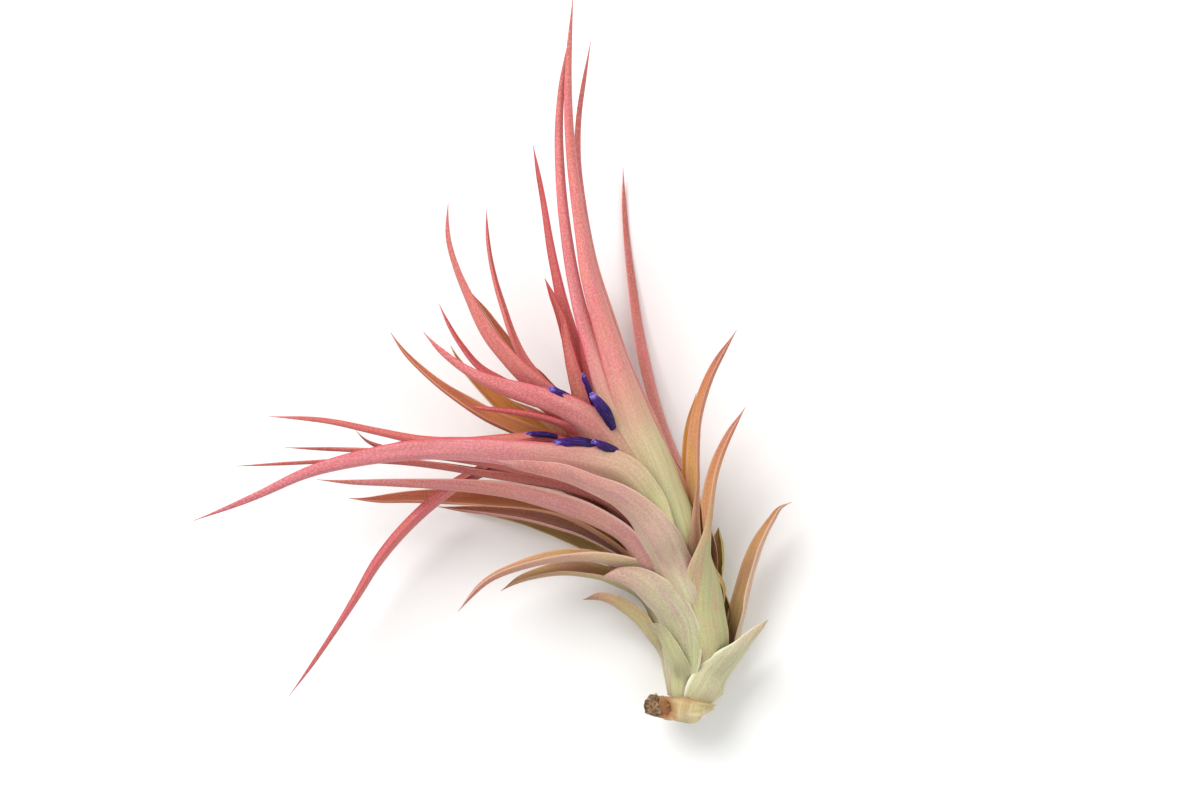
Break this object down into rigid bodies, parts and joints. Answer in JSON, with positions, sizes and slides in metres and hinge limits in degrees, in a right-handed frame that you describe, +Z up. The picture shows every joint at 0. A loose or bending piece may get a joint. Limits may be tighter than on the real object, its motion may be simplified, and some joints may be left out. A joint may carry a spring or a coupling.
{
  "type": "air plant",
  "caption": "Bare-root air plant lying down: a bulb of leaf bases, long curling pink and green channelled leaves on a bent stem, and violet flowers between the upper leaves",
  "frame": {"origin": "the small flat spot under the bulb, on which the plant rests", "axes": "+Z up, away from the surface the plant lies on; +Y from the bulb towards the tallest leaf; +X to the right of the bulb, seen from above"},
  "size_m": [0.2246, 0.2735, 0.0897],
  "materials": {
    "leaf_tissue": "soft, dry leaf, coral pink with yellow-green bases, under a pale bloom of fine scales",
    "stem_tissue": "dull yellow-green stem under the leaf bases",
    "dry_tissue": "dry grey-brown bark-like stub and papery scales",
    "petal_tissue": "smooth, slightly shiny violet petals with lilac tips"
  },
  "bodies": {
    "root": {"stem": "stem_tissue", "old_stub": "dry_tissue", "base_leaf_1": "leaf_tissue", "base_leaf_2": "leaf_tissue", "base_leaf_3": "leaf_tissue", "base_leaf_4": "leaf_tissue", "base_leaf_5": "leaf_tissue", "base_leaf_6": "leaf_tissue", "base_leaf_7": "leaf_tissue", "left_leaf_1": "leaf_tissue", "left_leaf_2": "leaf_tissue", "left_leaf_3": "leaf_tissue", "right_leaf_1": "leaf_tissue", "long_leaf_1": "leaf_tissue", "tall_leaf_1": "leaf_tissue", "tall_leaf_2": "leaf_tissue", "crown_leaf_1": "leaf_tissue", "left_leaf_4": "leaf_tissue", "long_leaf_2": "leaf_tissue", "long_leaf_3": "leaf_tissue", "left_leaf_5": "leaf_tissue", "left_leaf_6": "leaf_tissue", "left_leaf_7": "leaf_tissue", "drooping_leaf": "leaf_tissue", "long_leaf_4": "leaf_tissue", "long_leaf_5": "leaf_tissue", "long_leaf_6": "leaf_tissue", "crown_leaf_2": "leaf_tissue", "crown_leaf_3": "leaf_tissue", "crown_leaf_4": "leaf_tissue", "bract_1": "leaf_tissue", "crown_leaf_5": "leaf_tissue", "crown_leaf_6": "leaf_tissue", "crown_leaf_7": "leaf_tissue", "crown_leaf_8": "leaf_tissue", "tall_leaf_3": "leaf_tissue", "bract_2": "leaf_tissue", "bract_3": "leaf_tissue", "bract_4": "leaf_tissue", "tall_leaf_4": "leaf_tissue", "right_leaf_2": "leaf_tissue", "tall_leaf_5": "leaf_tissue", "right_leaf_3": "leaf_tissue", "right_leaf_4": "leaf_tissue", "under_leaf_1": "leaf_tissue", "under_leaf_2": "leaf_tissue", "under_leaf_3": "leaf_tissue", "under_leaf_4": "leaf_tissue", "under_leaf_5": "leaf_tissue", "under_leaf_6": "leaf_tissue", "dry_scale_1": "dry_tissue", "dry_scale_2": "dry_tissue", "flower_1": "petal_tissue", "flower_2": "petal_tissue", "flower_3": "petal_tissue", "flower_4": "petal_tissue", "flower_5": "petal_tissue", "flower_6": "petal_tissue"}
  },
  "joints": []
}
